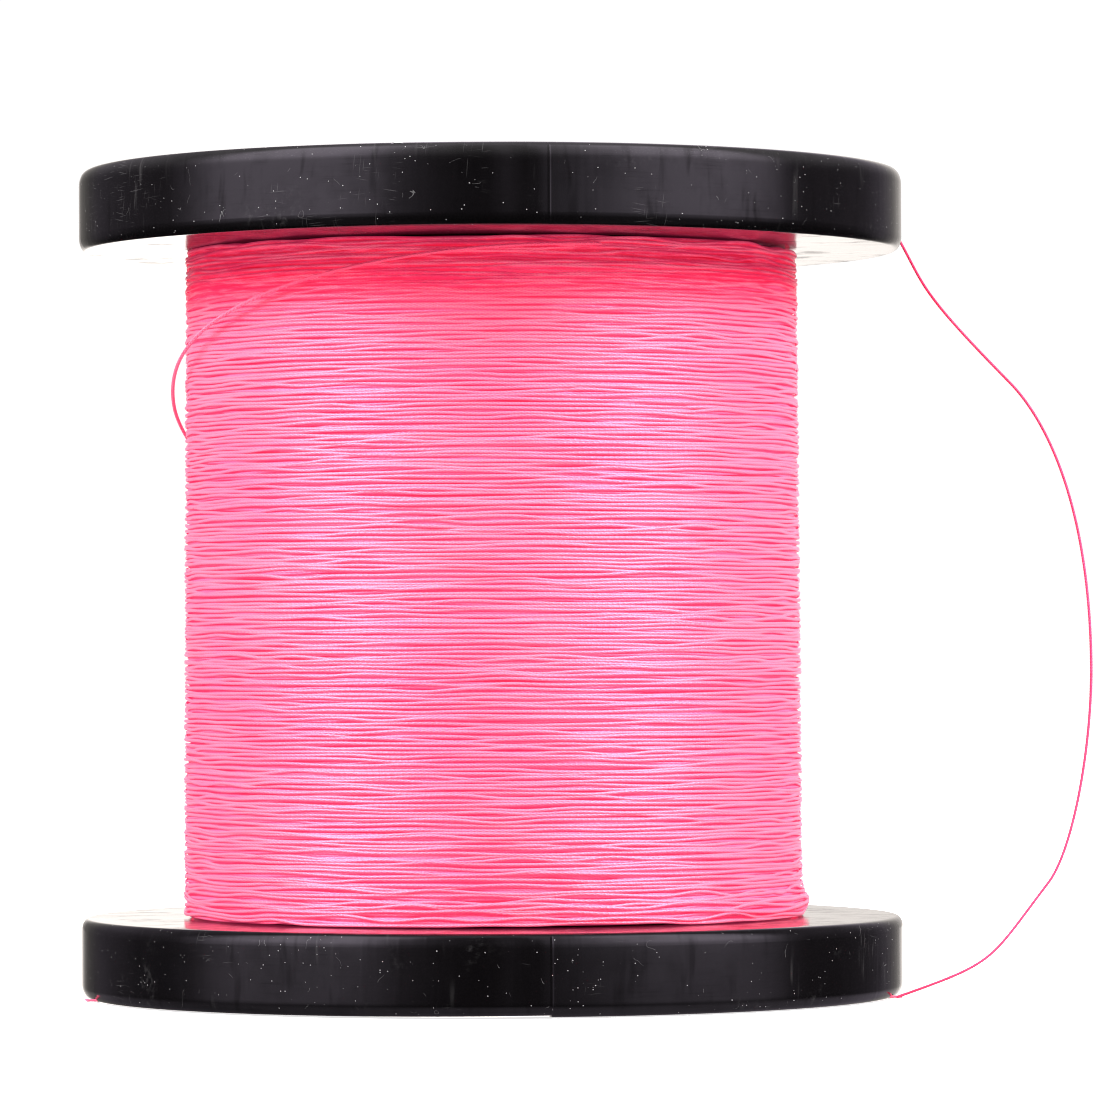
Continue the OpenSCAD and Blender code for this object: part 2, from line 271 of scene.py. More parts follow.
class Net:
    """Builds a node tree; its methods add a node and return its output as a Value."""

    def __init__(self, owner):
        owner.use_nodes = True
        self.tree = owner.node_tree
        self.tree.nodes.clear()

    def new(self, kind, **settings):
        node = self.tree.nodes.new(kind)
        for key, value in settings.items():
            setattr(node, key, value)
        return node

    def put(self, socket, value):
        if isinstance(value, Value):
            self.tree.links.new(value.socket, socket)
        else:
            socket.default_value = value

    def fill(self, node, values, output=0):
        """Sets inputs given as {index or name: value} and returns one output."""
        for key, value in values.items():
            self.put(node.inputs[key], value)
        return Value(self, node.outputs[output])

    def source(self, kind, output, **settings):
        return self.fill(self.new(kind, **settings), {}, output)

    def position(self):
        return self.source("ShaderNodeTexCoord", "Object")

    def math(self, op, a, b=0.0, c=0.0, clamp=False):
        node = self.new("ShaderNodeMath", operation=op, use_clamp=clamp)
        return self.fill(node, {0: a, 1: b, 2: c})

    def xyz(self, vector):
        node = self.new("ShaderNodeSeparateXYZ")
        self.put(node.inputs[0], vector)
        return [Value(self, output) for output in node.outputs]

    def vec(self, x, y, z):
        return self.fill(self.new("ShaderNodeCombineXYZ"), {0: x, 1: y, 2: z})

    def radius(self, x, y):
        node = self.new("ShaderNodeVectorMath", operation="LENGTH")
        return self.fill(node, {0: self.vec(x, y, 0.0), 1: (0, 0, 0)}, 1)

    def azimuth(self, x, y):
        """Radians from -Y towards +X."""
        return self.math("ARCTAN2", x, y * -1.0)

    def noise(self, vector, scale=1.0, detail=2.0, rough=0.5, distort=0.0, offset=None):
        """Noise, about 0 to 1; offset moves the pattern to make an unrelated one."""
        if offset:
            node = self.new("ShaderNodeVectorMath", operation="ADD")
            vector = self.fill(node, {0: vector, 1: offset})
        return self.fill(self.new("ShaderNodeTexNoise"), {
            "Vector": vector, "Scale": scale, "Detail": detail,
            "Roughness": rough, "Distortion": distort})

    def cells(self, vector, scale):
        """Distance to the nearest cell point, and three random numbers for that cell."""
        node = self.new("ShaderNodeTexVoronoi")
        distance = self.fill(node, {"Vector": vector, "Scale": scale}, "Distance")
        return distance, self.xyz(Value(self, node.outputs["Color"]))

    def step(self, value, start, end, low=0.0, high=1.0):
        """Goes smoothly from low at start to high at end."""
        node = self.new("ShaderNodeMapRange", interpolation_type="SMOOTHSTEP", clamp=True)
        return self.fill(node, {0: value, 1: start, 2: end, 3: low, 4: high})

    def fall(self, value, start, end):
        return self.step(value, start, end, low=1.0, high=0.0)

    def ramp(self, value, stops):
        """A grey ramp through (position, level) stops."""
        node = self.new("ShaderNodeValToRGB")
        elements = node.color_ramp.elements
        while len(elements) < len(stops):
            elements.new(0.5)
        for element, (position, level) in zip(elements, stops):
            element.position = position
            element.color = (level, level, level, 1)
        return self.fill(node, {0: value})

    def mix(self, factor, a, b):
        node = self.new("ShaderNodeMix", data_type="RGBA")
        return self.fill(node, {0: factor, 6: a, 7: b}, 2)

    def bump(self, height, strength, distance, normal=None):
        values = {"Strength": strength, "Distance": distance, "Height": height}
        if normal is not None:
            values["Normal"] = normal
        return self.fill(self.new("ShaderNodeBump"), values)

    def shader(self, kind, **inputs):
        """A shader node; an underscore in an argument stands for a space in the input's name."""
        values = {key.replace("_", " "): value for key, value in inputs.items()}
        return self.fill(self.new(kind), values)

    def mix_shader(self, factor, a, b):
        return self.fill(self.new("ShaderNodeMixShader"), {0: factor, 1: a, 2: b})

    def output(self, shader, kind="ShaderNodeOutputMaterial"):
        self.put(self.new(kind).inputs[0], shader)

    def principled(self, **inputs):
        self.output(self.shader("ShaderNodeBsdfPrincipled", **inputs))


def new_material(name):
    material = bpy.data.materials.new(name)
    return material, Net(material)


# ---------------------------------------------------------------- materials
def line_material(name, relief=True, low=(0.92, 0.050, 0.195, 1), high=(1.0, 0.190, 0.255, 1),
                  sheen=0.15, painted_glow=0.34, shade=0.8):
    """Braided polyethylene: pink picks, a little colour drift, satin fibre sheen.

    relief gives the picks a bump, for strands that are plain tubes. low and high are the
    ends of the colour range; glow is a painted emission standing in for the bright dye,
    and shade its share near the top flange.
    """
    material, net = new_material(name)
    along, around, _ = net.xyz(net.source("ShaderNodeUVMap", 0, uv_map="Strand"))
    position = net.position()
    # picks: two families of flat carriers crossing round the strand, one pick each 0.92 mm
    length_phase = along * (2 * math.pi / 0.92)
    turn_phase = around * (4 * 2 * math.pi)
    wobble = net.noise(net.vec(along * 0.35, 0.0, 0.0), detail=1.0) * 5.0
    right_hand = net.math("SINE", length_phase + turn_phase + wobble)
    left_hand = net.math("SINE", length_phase + wobble - turn_phase)
    pick = net.math("ADD", net.math("MAXIMUM", right_hand, left_hand) * 0.5, 0.5, clamp=True)
    # long soft streaks and short flicks round the drum: partly random tone from turn to turn,
    # partly painted highlight where the twisted braid catches the light
    x, y, z = net.xyz(position)
    az = net.azimuth(x, y)
    streak = net.noise(net.vec(az * 1.3, z * 900.0, 0.0), rough=0.6)
    flick = net.noise(net.vec(az * 9.0, z * 2300.0, 5.0), rough=0.6)
    streak = streak * 0.6 + flick * 0.6
    drift = net.noise(position, scale=60.0)
    # share of the lighter high colour: painted highlight on the picks and streaks, plus random
    # colour drift, less a level that centres it
    pick_weight, level = (0.95, 0.38) if relief else (0.3, 0.10)
    share = net.math("SUBTRACT", streak * 0.75 + pick * pick_weight, level, clamp=True)
    share = net.math("ADD", (drift - 0.5) * 0.5, share, clamp=True)
    # painted shade: under the overhang of the top flange the colour is mixed towards a dark
    # crimson, less on the streaks that stand in for lit strands; the sheen and specular fade
    # there too
    flange_shade = net.step(z, start=0.1020, end=0.1066)
    painted_shade_share = net.step(streak, start=0.50, end=0.72, low=0.95, high=0.10) if relief else 0.35
    colour = net.mix(flange_shade * painted_shade_share, net.mix(share, low, high), (0.80, 0.006, 0.055, 1))
    if relief:
        fine = net.noise(net.vec(along * 1.2, around * 22.0, 0.0), rough=0.6)
        extra = {"Normal": net.bump(pick + fine * 0.5, strength=0.5, distance=0.00005),
                 "Roughness": pick.linear(slope=-0.12, offset=0.40), "IOR": 2.3}
    else:
        extra = {"Roughness": 0.36, "IOR": 1.5}
    specular = 0.78 if relief else 0.5
    net.principled(
        Base_Color=colour,
        Emission_Color=(1.0, 0.050, 0.180, 1),
        # painted glow standing in for the bright dye, dimmed under the overhang of the top flange
        # as painted shade
        Emission_Strength=net.step(z, start=0.1060, end=0.1098).linear(painted_glow * (shade - 1), painted_glow),
        Specular_IOR_Level=flange_shade.linear(-0.75 * specular, specular),
        Specular_Tint=(1.0, 0.66, 0.84, 1),
        Sheen_Weight=flange_shade.linear(-sheen, sheen),
        Sheen_Roughness=0.45,
        Sheen_Tint=(1.0, 0.72, 0.95, 1),
        **extra)
    material.cycles.emission_sampling = "NONE"
    return material


def dust(net, cyl):
    """Specks, grit and powder: dots in crowded areas, only some cells filled."""
    crowd = net.step(net.noise(cyl, scale=70.0, rough=0.6, offset=(0.9, 0.4, 0.6)),
                     start=0.42, end=0.68)
    small_crowd = net.step(net.noise(cyl, scale=130.0, rough=0.6, offset=(0.2, 0.8, 0.1)),
                           start=0.45, end=0.70)
    distance, cell = net.cells(cyl, scale=520.0)
    size = cell[1].linear(slope=0.030, offset=0.014)
    speck = (net.fall(distance - size, start=0.0, end=0.012)
             * net.step(cell[0] + crowd * 0.42, start=0.90, end=0.91)) * cell[2]
    distance, cell = net.cells(cyl, scale=1300.0)
    grit = (net.fall(distance, start=0.04, end=0.09)
            * net.step(cell[0] + small_crowd * 0.10, start=0.978, end=0.983)) * cell[1]
    distance, cell = net.cells(cyl, scale=2700.0)
    powder = (net.fall(distance, start=0.12, end=0.26)
              * net.step(cell[0] + crowd * small_crowd * 0.14, start=0.980, end=0.984))
    return speck * 0.70 + grit * 0.62 + powder * 0.50


def fibres(net, cyl):
    """Curled fibres: thin level sets of a warped noise, kept in few places."""
    level = net.noise(cyl, scale=330.0, detail=1.0, rough=0.35, distort=0.5)
    ring = net.fall(net.math("ABSOLUTE", level - 0.5), start=0.0015, end=0.0048)
    where = net.noise(cyl, scale=430.0, detail=0.0, offset=(0.31, 0.17, 0.4))
    return ring * net.step(where, start=0.715, end=0.735)


def scratches(net, arc, z, out, cyl):
    """Fine scratches in loose groups, in three directions."""
    strokes = []
    for angle, threshold in ((0.06, 0.735), (1.47, 0.735), (-0.16, 0.75)):
        cos, sin = math.cos(angle), math.sin(angle)
        along = arc * cos + z * sin
        across = z * cos - arc * sin
        stroke = net.noise(net.vec(along * 230.0, across * 5200.0, out), detail=0.0)
        strokes.append(net.step(stroke, start=threshold, end=threshold + 0.05))
    most = net.math("MAXIMUM", net.math("MAXIMUM", strokes[0], strokes[1]), strokes[2])
    where = net.noise(cyl, scale=95.0, detail=1.0, offset=(0.7, 0.2, 0.1))
    return most * net.step(where, start=0.58, end=0.66)


def black_plastic(name):
    """Moulded glossy black with faint flow waves, rub marks, dust, fibres, smudges and a painted
    highlight on the top rim's upper edge.
    """
    material, net = new_material(name)
    x, y, z = net.xyz(net.position())
    # wrapped coordinates: round the rim, up, and out, all in metres
    arc = net.azimuth(x, y) * (RADIUS * MM)
    out = net.radius(x, y)
    cyl = net.vec(arc, z, out)
    on_rim = net.step(out, start=0.0612, end=0.0621)
    cloud = net.noise(cyl, scale=110.0, detail=4.0, rough=0.6)

    # pale marks, each weighted by its brightness, and a painted highlight along the top rim's
    # upper edge
    scratch = scratches(net, arc, z, out, cyl)
    smudge = (net.step(net.noise(cyl, scale=85.0, rough=0.6, offset=(0.1, 0.9, 0.3)),
                       start=0.60, end=0.72)
              * net.step(net.noise(cyl, scale=1100.0, detail=3.0, rough=0.7),
                         start=0.48, end=0.75))
    # rub marks running up the rim
    rubbed = (net.step(net.noise(net.vec(arc * 620.0, z * 70.0, 3.0), rough=0.6),
                       start=0.60, end=0.78)
              * net.step(net.noise(net.vec(arc * 75.0, z * 60.0, 7.0), detail=1.0),
                         start=0.50, end=0.66))
    # painted highlight: the top rim's upper edge is made a little pale, standing in for the light
    # that its rounding reflects
    top_edge_highlight = net.math("POWER", net.step(z, start=0.1215, end=0.1250), 2.0) * on_rim
    marks_and_edge_highlight = (dust(net, cyl) + fibres(net, cyl) * 0.10 + scratch * 0.038 + smudge * 0.030
             + rubbed * 0.032 + top_edge_highlight * cloud.linear(slope=0.020, offset=0.010))
    marks_and_edge_highlight = net.math("MULTIPLY", marks_and_edge_highlight, 1.0, clamp=True)
    base = net.mix(cloud, (0.0013, 0.0011, 0.0013, 1), (0.0026, 0.0022, 0.0025, 1))
    colour = net.mix(marks_and_edge_highlight, base, (0.62, 0.60, 0.60, 1))

    # flow bands, stretched up the rim
    band = net.noise(net.vec(arc * 140.0, z * 6.0, out * 20.0), detail=3.0, rough=0.55)
    mid_band = net.noise(net.vec(arc * 380.0, z * 22.0, out * 40.0))
    fine_band = net.noise(net.vec(arc * 900.0, z * 40.0, out * 60.0), rough=0.6)
    wave = band * 1.0 + fine_band * 0.05 + net.step(mid_band, start=0.58, end=0.80) * 0.30
    wave = wave * on_rim.linear(slope=0.92, offset=0.08)
    normal = net.bump(wave, strength=0.35, distance=0.00012)
    normal = net.bump(marks_and_edge_highlight - scratch * 0.2, strength=0.25, distance=0.00003, normal=normal)

    # roughness 0.10 to 0.16, more in the bands, in worn patches off the rim and on marks
    worn = net.noise(cyl, scale=130.0, detail=4.0, rough=0.65, offset=(0.5, 0.5, 0.1))
    worn = net.step(worn, start=0.50, end=0.72) * (1.0 - on_rim)
    rough = cloud * 0.06 + 0.10 + net.step(band, start=0.5, end=0.68) * 0.04 + worn * 0.16
    rough = net.math("ADD", rough, marks_and_edge_highlight * 0.5, clamp=True)

    # gloss, dulled by streaks up the rim, hairlines round it and soft patches
    bent = arc + net.noise(cyl, scale=90.0, detail=1.0) * 0.0022
    dull = net.noise(net.vec(bent * 430.0, z * 75.0, 11.0), rough=0.55)
    dull = net.step(dull, start=0.55, end=0.72) * on_rim
    patch = net.noise(cyl, scale=160.0, detail=3.0, rough=0.6, offset=(0.2, 0.6, 0.8))
    hair = net.noise(net.vec(arc * 110.0, z * 4200.0, out), rough=0.6)
    hair = net.step(hair, start=0.50, end=0.80) * net.step(patch, start=0.35, end=0.60)
    gloss = 0.5 - dull * 0.20 - hair * 0.13 - net.step(patch, start=0.42, end=0.75) * 0.12
    net.principled(Base_Color=colour, Roughness=rough, IOR=1.53, Specular_IOR_Level=gloss,
                   Normal=normal)
    return material


def inner_plastic(name, base=(0.012, 0.012, 0.013), rough=0.34):
    """The less polished moulded surfaces, with a fine spark-eroded grain."""
    material, net = new_material(name)
    position = net.position()
    grain = net.noise(position, scale=5200.0, detail=3.0, rough=0.6)
    cloud = net.noise(position, scale=70.0, detail=4.0, rough=0.55)
    distance, cell = net.cells(position, scale=900.0)
    speck = (net.fall(distance, start=0.1, end=0.22)
             * net.step(cell[1], start=0.955, end=0.96))
    dusty = net.step(cloud, start=0.45, end=0.85, low=0.0, high=0.014)
    pale = net.math("ADD", speck * 0.6, dusty, clamp=True)
    net.principled(
        Base_Color=net.mix(pale, (*base, 1), (0.6, 0.59, 0.57, 1)),
        Roughness=net.math("ADD", cloud * 0.2, rough - 0.1, clamp=True),
        IOR=1.5,
        Normal=net.bump(grain, strength=0.25, distance=0.00004))
    return material


def paper(name):
    """Blank label stock: pale fibres, a faint waviness, a printed pink ring."""
    material, net = new_material(name)
    position = net.position()
    x, y, _ = net.xyz(position)
    out = net.radius(x, y)
    fibre = net.noise(position, scale=2600.0, detail=4.0, rough=0.7, distort=1.2)
    cloud = net.noise(position, scale=60.0, detail=3.0)
    # the ring's edges waver by a few hundredths of a millimetre
    out = out + (net.noise(position, scale=900.0) - 0.5) * 0.00012
    ring = (net.step(out, start=0.02760, end=0.02768)
            * net.fall(out, start=0.03040, end=0.03048))
    colour = net.mix(fibre, (0.38, 0.375, 0.355, 1), (0.50, 0.495, 0.475, 1))
    stain = net.step(cloud, start=0.45, end=0.8) * 0.30
    colour = net.mix(stain, colour, (0.36, 0.335, 0.30, 1))
    colour = net.mix(ring * 0.92, colour, (0.56, 0.035, 0.12, 1))
    net.principled(Base_Color=colour, Roughness=0.72,
                   Normal=net.bump(fibre * 0.15 + cloud, strength=0.35, distance=0.00025))
    return material


LINE = line_material("BraidedLine")
LINE_GEO = line_material("BraidedLineGeo", relief=False, low=(0.86, 0.03, 0.09, 1),
                         high=(0.98, 0.10, 0.22, 1), sheen=0.05)
LINE_SLACK = line_material("BraidedLineSlack", relief=False, low=(0.97, 0.08, 0.165, 1),
                           high=(1.0, 0.235, 0.335, 1), sheen=0.06)
LINE_FREE = line_material("BraidedLineFree", relief=False, low=(0.80, 0.018, 0.080, 1),
                          high=(0.97, 0.085, 0.22, 1), sheen=0.0, painted_glow=0.05)
# painted shade: BraidedLineLower, with a darker high colour and its glow dimmed more under the
# top flange, and the darker WindingCore are shaded copies of the line for the turns in the
# valleys and deep under the top layer
LINE_LOWER = line_material("BraidedLineLower", low=(0.90, 0.056, 0.205, 1),
                           high=(0.98, 0.15, 0.26, 1), sheen=0.1, painted_glow=0.42, shade=0.5)
LINE_CORE = line_material("WindingCore", low=(0.84, 0.030, 0.130, 1),
                          high=(0.94, 0.080, 0.20, 1), sheen=0.0, painted_glow=0.30, shade=0.3)
PLASTIC_RIM = black_plastic("BlackPlasticRim")
PLASTIC_OPEN = inner_plastic("BlackPlasticOpenSide")
PLASTIC_TUBE = inner_plastic("BlackPlasticTube", base=(0.02, 0.02, 0.021), rough=0.42)
PAPER = paper("BlankLabel")


# ---------------------------------------------------------------- flanges
def arc_points(x, y, radius, start, end, count, radius_y=None):
    """Points of an arc, or of an ellipse if radius_y is given, between two angles."""
    radius_y = radius if radius_y is None else radius_y
    return [(x + radius * math.cos(angle), y + radius_y * math.sin(angle))
            for angle in np.radians(np.linspace(start, end, count))]


def flange_profile():
    """Closed section of a flange as (radius, depth from the outer rim plane)."""
    soft = 0.35     # rounding of the moulded edges
    # outside of the rim
    pts = arc_points(RADIUS - RIM_ROUND, 2.2, RIM_ROUND, -90, 0, 13, radius_y=2.2)
    pts += [(RADIUS, 4.5), (RADIUS, 7.5)]
    pts += arc_points(RADIUS - RIM_ROUND, FLANGE - 2.0, RIM_ROUND, 0, 90, 13, radius_y=2.0)
    # face towards the winding, with a spigot that enters the drum
    pts += [(r, FLANGE) for r in (60.0, *range(58, 39, -3))]
    pts += [(COLLAR_OUT, FLANGE), (COLLAR_OUT, FLANGE + 2.6), (COLLAR_OUT - 0.4, FLANGE + 3.0),
            (COLLAR_IN + 0.4, FLANGE + 3.0), (COLLAR_IN, FLANGE + 2.6),
            (COLLAR_IN, PANEL_BACK + soft)]
    # back of the panel, then the hub and its bore
    pts += arc_points(COLLAR_IN - soft, PANEL_BACK + soft, soft, 0, -90, 3)[1:]
    pts += [(30.0, PANEL_BACK), (20.0, PANEL_BACK)]
    pts += arc_points(HUB_R + soft, PANEL_BACK + soft, soft, -90, -180, 3)
    pts += [(HUB_R, FLANGE - 0.3), (HUB_R - 0.3, FLANGE),
            (BORE_R + 0.3, FLANGE), (BORE_R, FLANGE - 0.3), (BORE_R, 0.3), (BORE_R + 0.3, 0.0)]
    pts += arc_points(HUB_R - soft, soft, soft, -90, 0, 4)
    # front of the panel
    pts += arc_points(HUB_R + 0.25, PANEL - 0.25, 0.25, 180, 90, 3)
    pts += [(20.0, PANEL), (28.0, PANEL)]
    pts += arc_points(COLLAR_OUT - soft, PANEL + soft, soft, -90, 0, 4)
    # open pocket and the inside of the rim
    pts += [(COLLAR_OUT, 5.0)]
    pts += arc_points(COLLAR_OUT + 0.7, POCKET - 0.7, 0.7, 180, 90, 4)
    pts += [(44.0, POCKET), (50.0, POCKET), (56.0, POCKET)]
    pts += arc_points(RIM_IN - 0.9, POCKET - 0.9, 0.9, 90, 0, 5)
    pts += [(RIM_IN, 5.0)]
    pts += arc_points(RIM_IN + 0.4, 0.4, 0.4, 180, 270, 4)
    # drop repeated points
    kept = [pts[0]]
    for point in pts[1:]:
        if math.dist(point, kept[-1]) > 1e-4:
            kept.append(point)
    return np.array(kept)


def flange_azimuths(lines):
    """Even azimuths, with close sets in place of those near the given lines."""
    even = np.linspace(-180, 180, 541)[:-1]
    keep = np.ones(len(even), bool)
    for line in lines:
        keep &= np.abs((even - line + 180) % 360 - 180) > 0.35
    close = np.array([-0.30, -0.14, -0.07, 0.0, 0.07, 0.14, 0.30])
    return np.sort(np.concatenate([even[keep]] + [close + line for line in lines]))


def flange_body(name, top):
    """The turned flange, with a faint ridge at each split line."""
    section = flange_profile()
    az = flange_azimuths([SPLIT_AZ, SPLIT_AZ - 180.0])
    to_split = (az - SPLIT_AZ + 180) % 360 - 180
    to_opposite = (az - SPLIT_AZ + 360) % 360 - 180
    near = np.where(np.abs(to_split) < np.abs(to_opposite), to_split, to_opposite)
    ridge = 0.05 * np.exp(-(near / 0.085) ** 2)
    dish = -0.055 * np.exp(-np.abs(near) / 5.0)     # each half shrinks towards the split
    r = np.repeat(section[None, :, 0], len(az), 0)
    depth = np.repeat(section[None, :, 1], len(az), 0)
    r = r + np.clip((r - 60.4) / 2.0, 0, 1) * (ridge + dish)[:, None]
    if not top:
        # one side of each split sits a hair high
        high = 0.26 * np.where(near < 0, 1.0, 0.0) * np.exp(-np.abs(near) / 26.0)
        edge = np.clip((1.6 - depth) / 1.6, 0, 1) * np.clip((r - 60.5) / 0.8, 0, 1)
        depth = depth + edge * high[:, None]
    verts = polar(az[:, None], r, HEIGHT - depth if top else depth).reshape(-1, 3)
    quads = ring_quads(len(az), len(section))
    if top:
        quads = quads[:, ::-1]
    ob = new_mesh(name, verts, quads, [PLASTIC_RIM, PLASTIC_OPEN])
    # the open side, spigot and hub are less polished
    mid_r, mid_depth = ((section + np.roll(section, -1, 0)) / 2).T
    open_side = (((mid_r < RIM_IN + 0.25) & (mid_depth < FLANGE - 0.02))
                 | (mid_depth > FLANGE + 0.02) | (mid_r < 37.4))
    ob.data.polygons.foreach_set("material_index", np.tile(open_side.astype(np.int32), len(az)))
    return ob


def prism(section, origin, along, across, length, up=(0, 0, 1)):
    """A cutter: a section of (across, up) points carried along a direction."""
    origin, along, across, up = map(np.array, (origin, along, across, up))
    count = len(section)
    verts = [origin + across * sx + up * sy for sx, sy in section]
    verts += [origin + along * length + across * sx + up * sy for sx, sy in section]
    faces = [list(range(count))[::-1], [count + j for j in range(count)]]
    faces += [[j, (j + 1) % count, count + (j + 1) % count, count + j] for j in range(count)]
    mesh = bpy.data.meshes.new("cut")
    mesh.from_pydata([tuple(vert * MM) for vert in verts], [], faces)
    mesh.update()
    bm = bmesh.new()
    bm.from_mesh(mesh)
    bmesh.ops.recalc_face_normals(bm, faces=bm.faces[:])
    bm.to_mesh(mesh)
    bm.free()
    cutter = bpy.data.objects.new("cut", mesh)
    scene.collection.objects.link(cutter)
    return cutter


def radial_prism(section, az, r, z, length):
    dx, dy = math.sin(math.radians(az)), -math.cos(math.radians(az))
    return prism(section, (r * dx, r * dy, z), (dx, dy, 0), (-dy, dx, 0), length)


def top_cutters():
    """The slot in the top rim and a shallow nick in its upper edge."""
    half, height = 0.7, 4.3
    slot = [(-half - 0.5, -1.2), (half + 0.5, -1.2), (half, 0.9), (half, height - half)]
    slot += arc_points(0, height - half, half, 30, 150, 5)
    slot += [(-half, height - half), (-half, 0.9)]
    nick = [(-0.85, 1.0), (0.85, 1.0), (0.75, -0.16), (0.35, -0.26), (-0.4, -0.22),
            (-0.72, -0.12)]
    return [radial_prism(slot, SLOT_AZ, 56.5, Z_HI, 9.0),
            radial_prism(nick, -12.4, 60.2, HEIGHT, 4.0)]


def bottom_cutters():
    """The groove across the underside and the hole for the first end of the line."""
    groove = [(-0.75, -1.0), (0.75, -1.0), (0.55, 0.45), (0.3, 0.72), (-0.3, 0.72),
              (-0.55, 0.45)]
    right = polar(GROOVE_AZ, HOLD_R, 0.0)
    left = polar(GROOVE_AZ_LEFT, HOLD_R, 0.0)
    width = np.linalg.norm(left - right)
    along = (left - right) / width
    across = np.array([-along[1], along[0], 0])
    overrun = 3
    hole = arc_points(0, 0, 0.6, 0, 360, 25)[:-1]
    return [prism(groove, right - along * overrun, along, across, width + 2 * overrun),
            prism(hole, polar(START_AZ, START_R, FLANGE - 4.5), (0, 0, 1), (1, 0, 0), 6.0,
                  up=(0, 1, 0))]


def cut(ob, cutters):
    """Subtracts the cutters and removes them."""
    for cutter in cutters:
        modifier = ob.modifiers.new("cut", "BOOLEAN")
        modifier.operation = "DIFFERENCE"
        modifier.object = cutter
        modifier.solver = "EXACT"
    depsgraph = bpy.context.evaluated_depsgraph_get()
    mesh = bpy.data.meshes.new_from_object(ob.evaluated_get(depsgraph), depsgraph=depsgraph)
    ob.modifiers.clear()
    ob.data = mesh
    for cutter in cutters:
        bpy.data.objects.remove(cutter)


def rib(bm, top, angle, r_from, r_to, edge, root):
    """A drafted radial rib from depth edge to depth root; angle is degrees from +X to +Y."""
    thin, thick, soft = RIB_EDGE / 2, RIB_ROOT / 2, RIB_ROUND
    half = [(thin - soft, edge), (thin - soft * 0.3, edge + soft * 0.3), (thin, edge + soft),
            (thick, root)]
    section = [(-w, depth) for w, depth in half[::-1]] + half
    cos, sin = math.cos(math.radians(angle)), math.sin(math.radians(angle))
    rings = []
    for r in np.linspace(r_from, r_to, 5):
        ring = []
        for w, depth in section:
            x, y, z = r * cos - w * sin, r * sin + w * cos, HEIGHT - depth if top else depth
            ring.append(bm.verts.new((x * MM, y * MM, z * MM)))
        rings.append(ring)
    count = len(section)
    faces = []
    for ring, after in zip(rings[:-1], rings[1:]):
        for j in range(count):
            k = (j + 1) % count
            faces.append(bm.faces.new([ring[j], after[j], after[k], ring[k]]))
    faces.append(bm.faces.new(rings[0][::-1]))
    faces.append(bm.faces.new(rings[-1]))
    for face in faces:
        face.smooth = True
        face.material_index = 1
    bmesh.ops.recalc_face_normals(bm, faces=faces)


def flange(name, top, node):
    ob = flange_body(name, top)
    cut(ob, top_cutters() if top else bottom_cutters())
    bm = bmesh.new()
    bm.from_mesh(ob.data)
    for j in range(12):     # in the open pocket
        rib(bm, top, 30 * (j + 0.5), 37.2, RIM_IN + 0.3, edge=1.6, root=FLANGE - 2.5)
    for j in range(6):      # behind the panel
        rib(bm, top, 60 * j, 12.8, 35.2, edge=9.1, root=3.5)
    bm.to_mesh(ob.data)
    bm.free()
    mesh = ob.data
    mesh.polygons.foreach_set("use_smooth", np.ones(len(mesh.polygons), bool))
    mesh.set_sharp_from_angle(angle=math.radians(38))
    place(ob, "spool", node)


flange("flange_bottom_shell", False, "bottom_flange")
flange("flange_top_shell", True, "top_flange")


# ---------------------------------------------------------------- core and labels
def arbor_tube():
    soft = 0.35
    section = [(ARBOR_IN + soft, 0), (ARBOR_OUT - soft, 0), (ARBOR_OUT, soft),
               (ARBOR_OUT, HEIGHT - soft), (ARBOR_OUT - soft, HEIGHT), (ARBOR_IN + soft, HEIGHT),
               (ARBOR_IN + 0.1, HEIGHT - 0.1), (ARBOR_IN, HEIGHT - soft), (ARBOR_IN, HEIGHT / 2),
               (ARBOR_IN, soft), (ARBOR_IN + 0.1, 0.1)]
    place(lathe("arbor_tube_fine", section, PLASTIC_TUBE), "spool", "arbor_tube")


def drum():
    section = [(DRUM_IN + 0.3, Z_LO + 0.02), (DRUM_OUT - 0.2, Z_LO + 0.02),
               (DRUM_OUT, Z_LO + 0.22), (DRUM_OUT, HEIGHT / 2), (DRUM_OUT, Z_HI - 0.22),
               (DRUM_OUT - 0.2, Z_HI - 0.02), (DRUM_IN + 0.3, Z_HI - 0.02),
               (DRUM_IN, Z_HI - 0.32), (DRUM_IN, HEIGHT / 2), (DRUM_IN, Z_LO + 0.32)]
    place(lathe("drum_fine", section, PLASTIC_TUBE), "spool", "drum")


def label(name, z, up, node):
    """A thin ring of paper, its outer edge lifting a little here and there."""
    count, thick = 288, 0.12
    radii = np.concatenate([np.linspace(15.0, 30.0, 11), np.linspace(30.6, 32.0, 6)])
    az = np.linspace(0, 360, count + 1)[:-1]
    angle = np.radians(az)
    lift = 0.10 * np.clip(np.sin(angle * 2 + 0.7) * np.sin(angle * 5 + 2.0) - 0.35, 0, None)
    rows = []
    for height, row_radii in ((0.0, radii[::-1]), (thick, radii)):
        for r in row_radii:
            bend = np.clip((r - 29.5) / 2.5, 0, 1) ** 2
            rows.append(polar(az, r, z + up * (height + lift * bend)))
    verts = np.stack(rows).transpose(1, 0, 2).reshape(-1, 3)
    quads = ring_quads(count, len(rows))[:, [0, 3, 2, 1]]
    if up < 0:
        quads = quads[:, ::-1]
    place(new_mesh(name, verts, quads, [PAPER], sharp=40), "spool", node)


arbor_tube()
drum()
label("label_top_paper", HEIGHT - PANEL + 0.02, 1, "top_label")
label("label_bottom_paper", PANEL - 0.02, -1, "bottom_label")

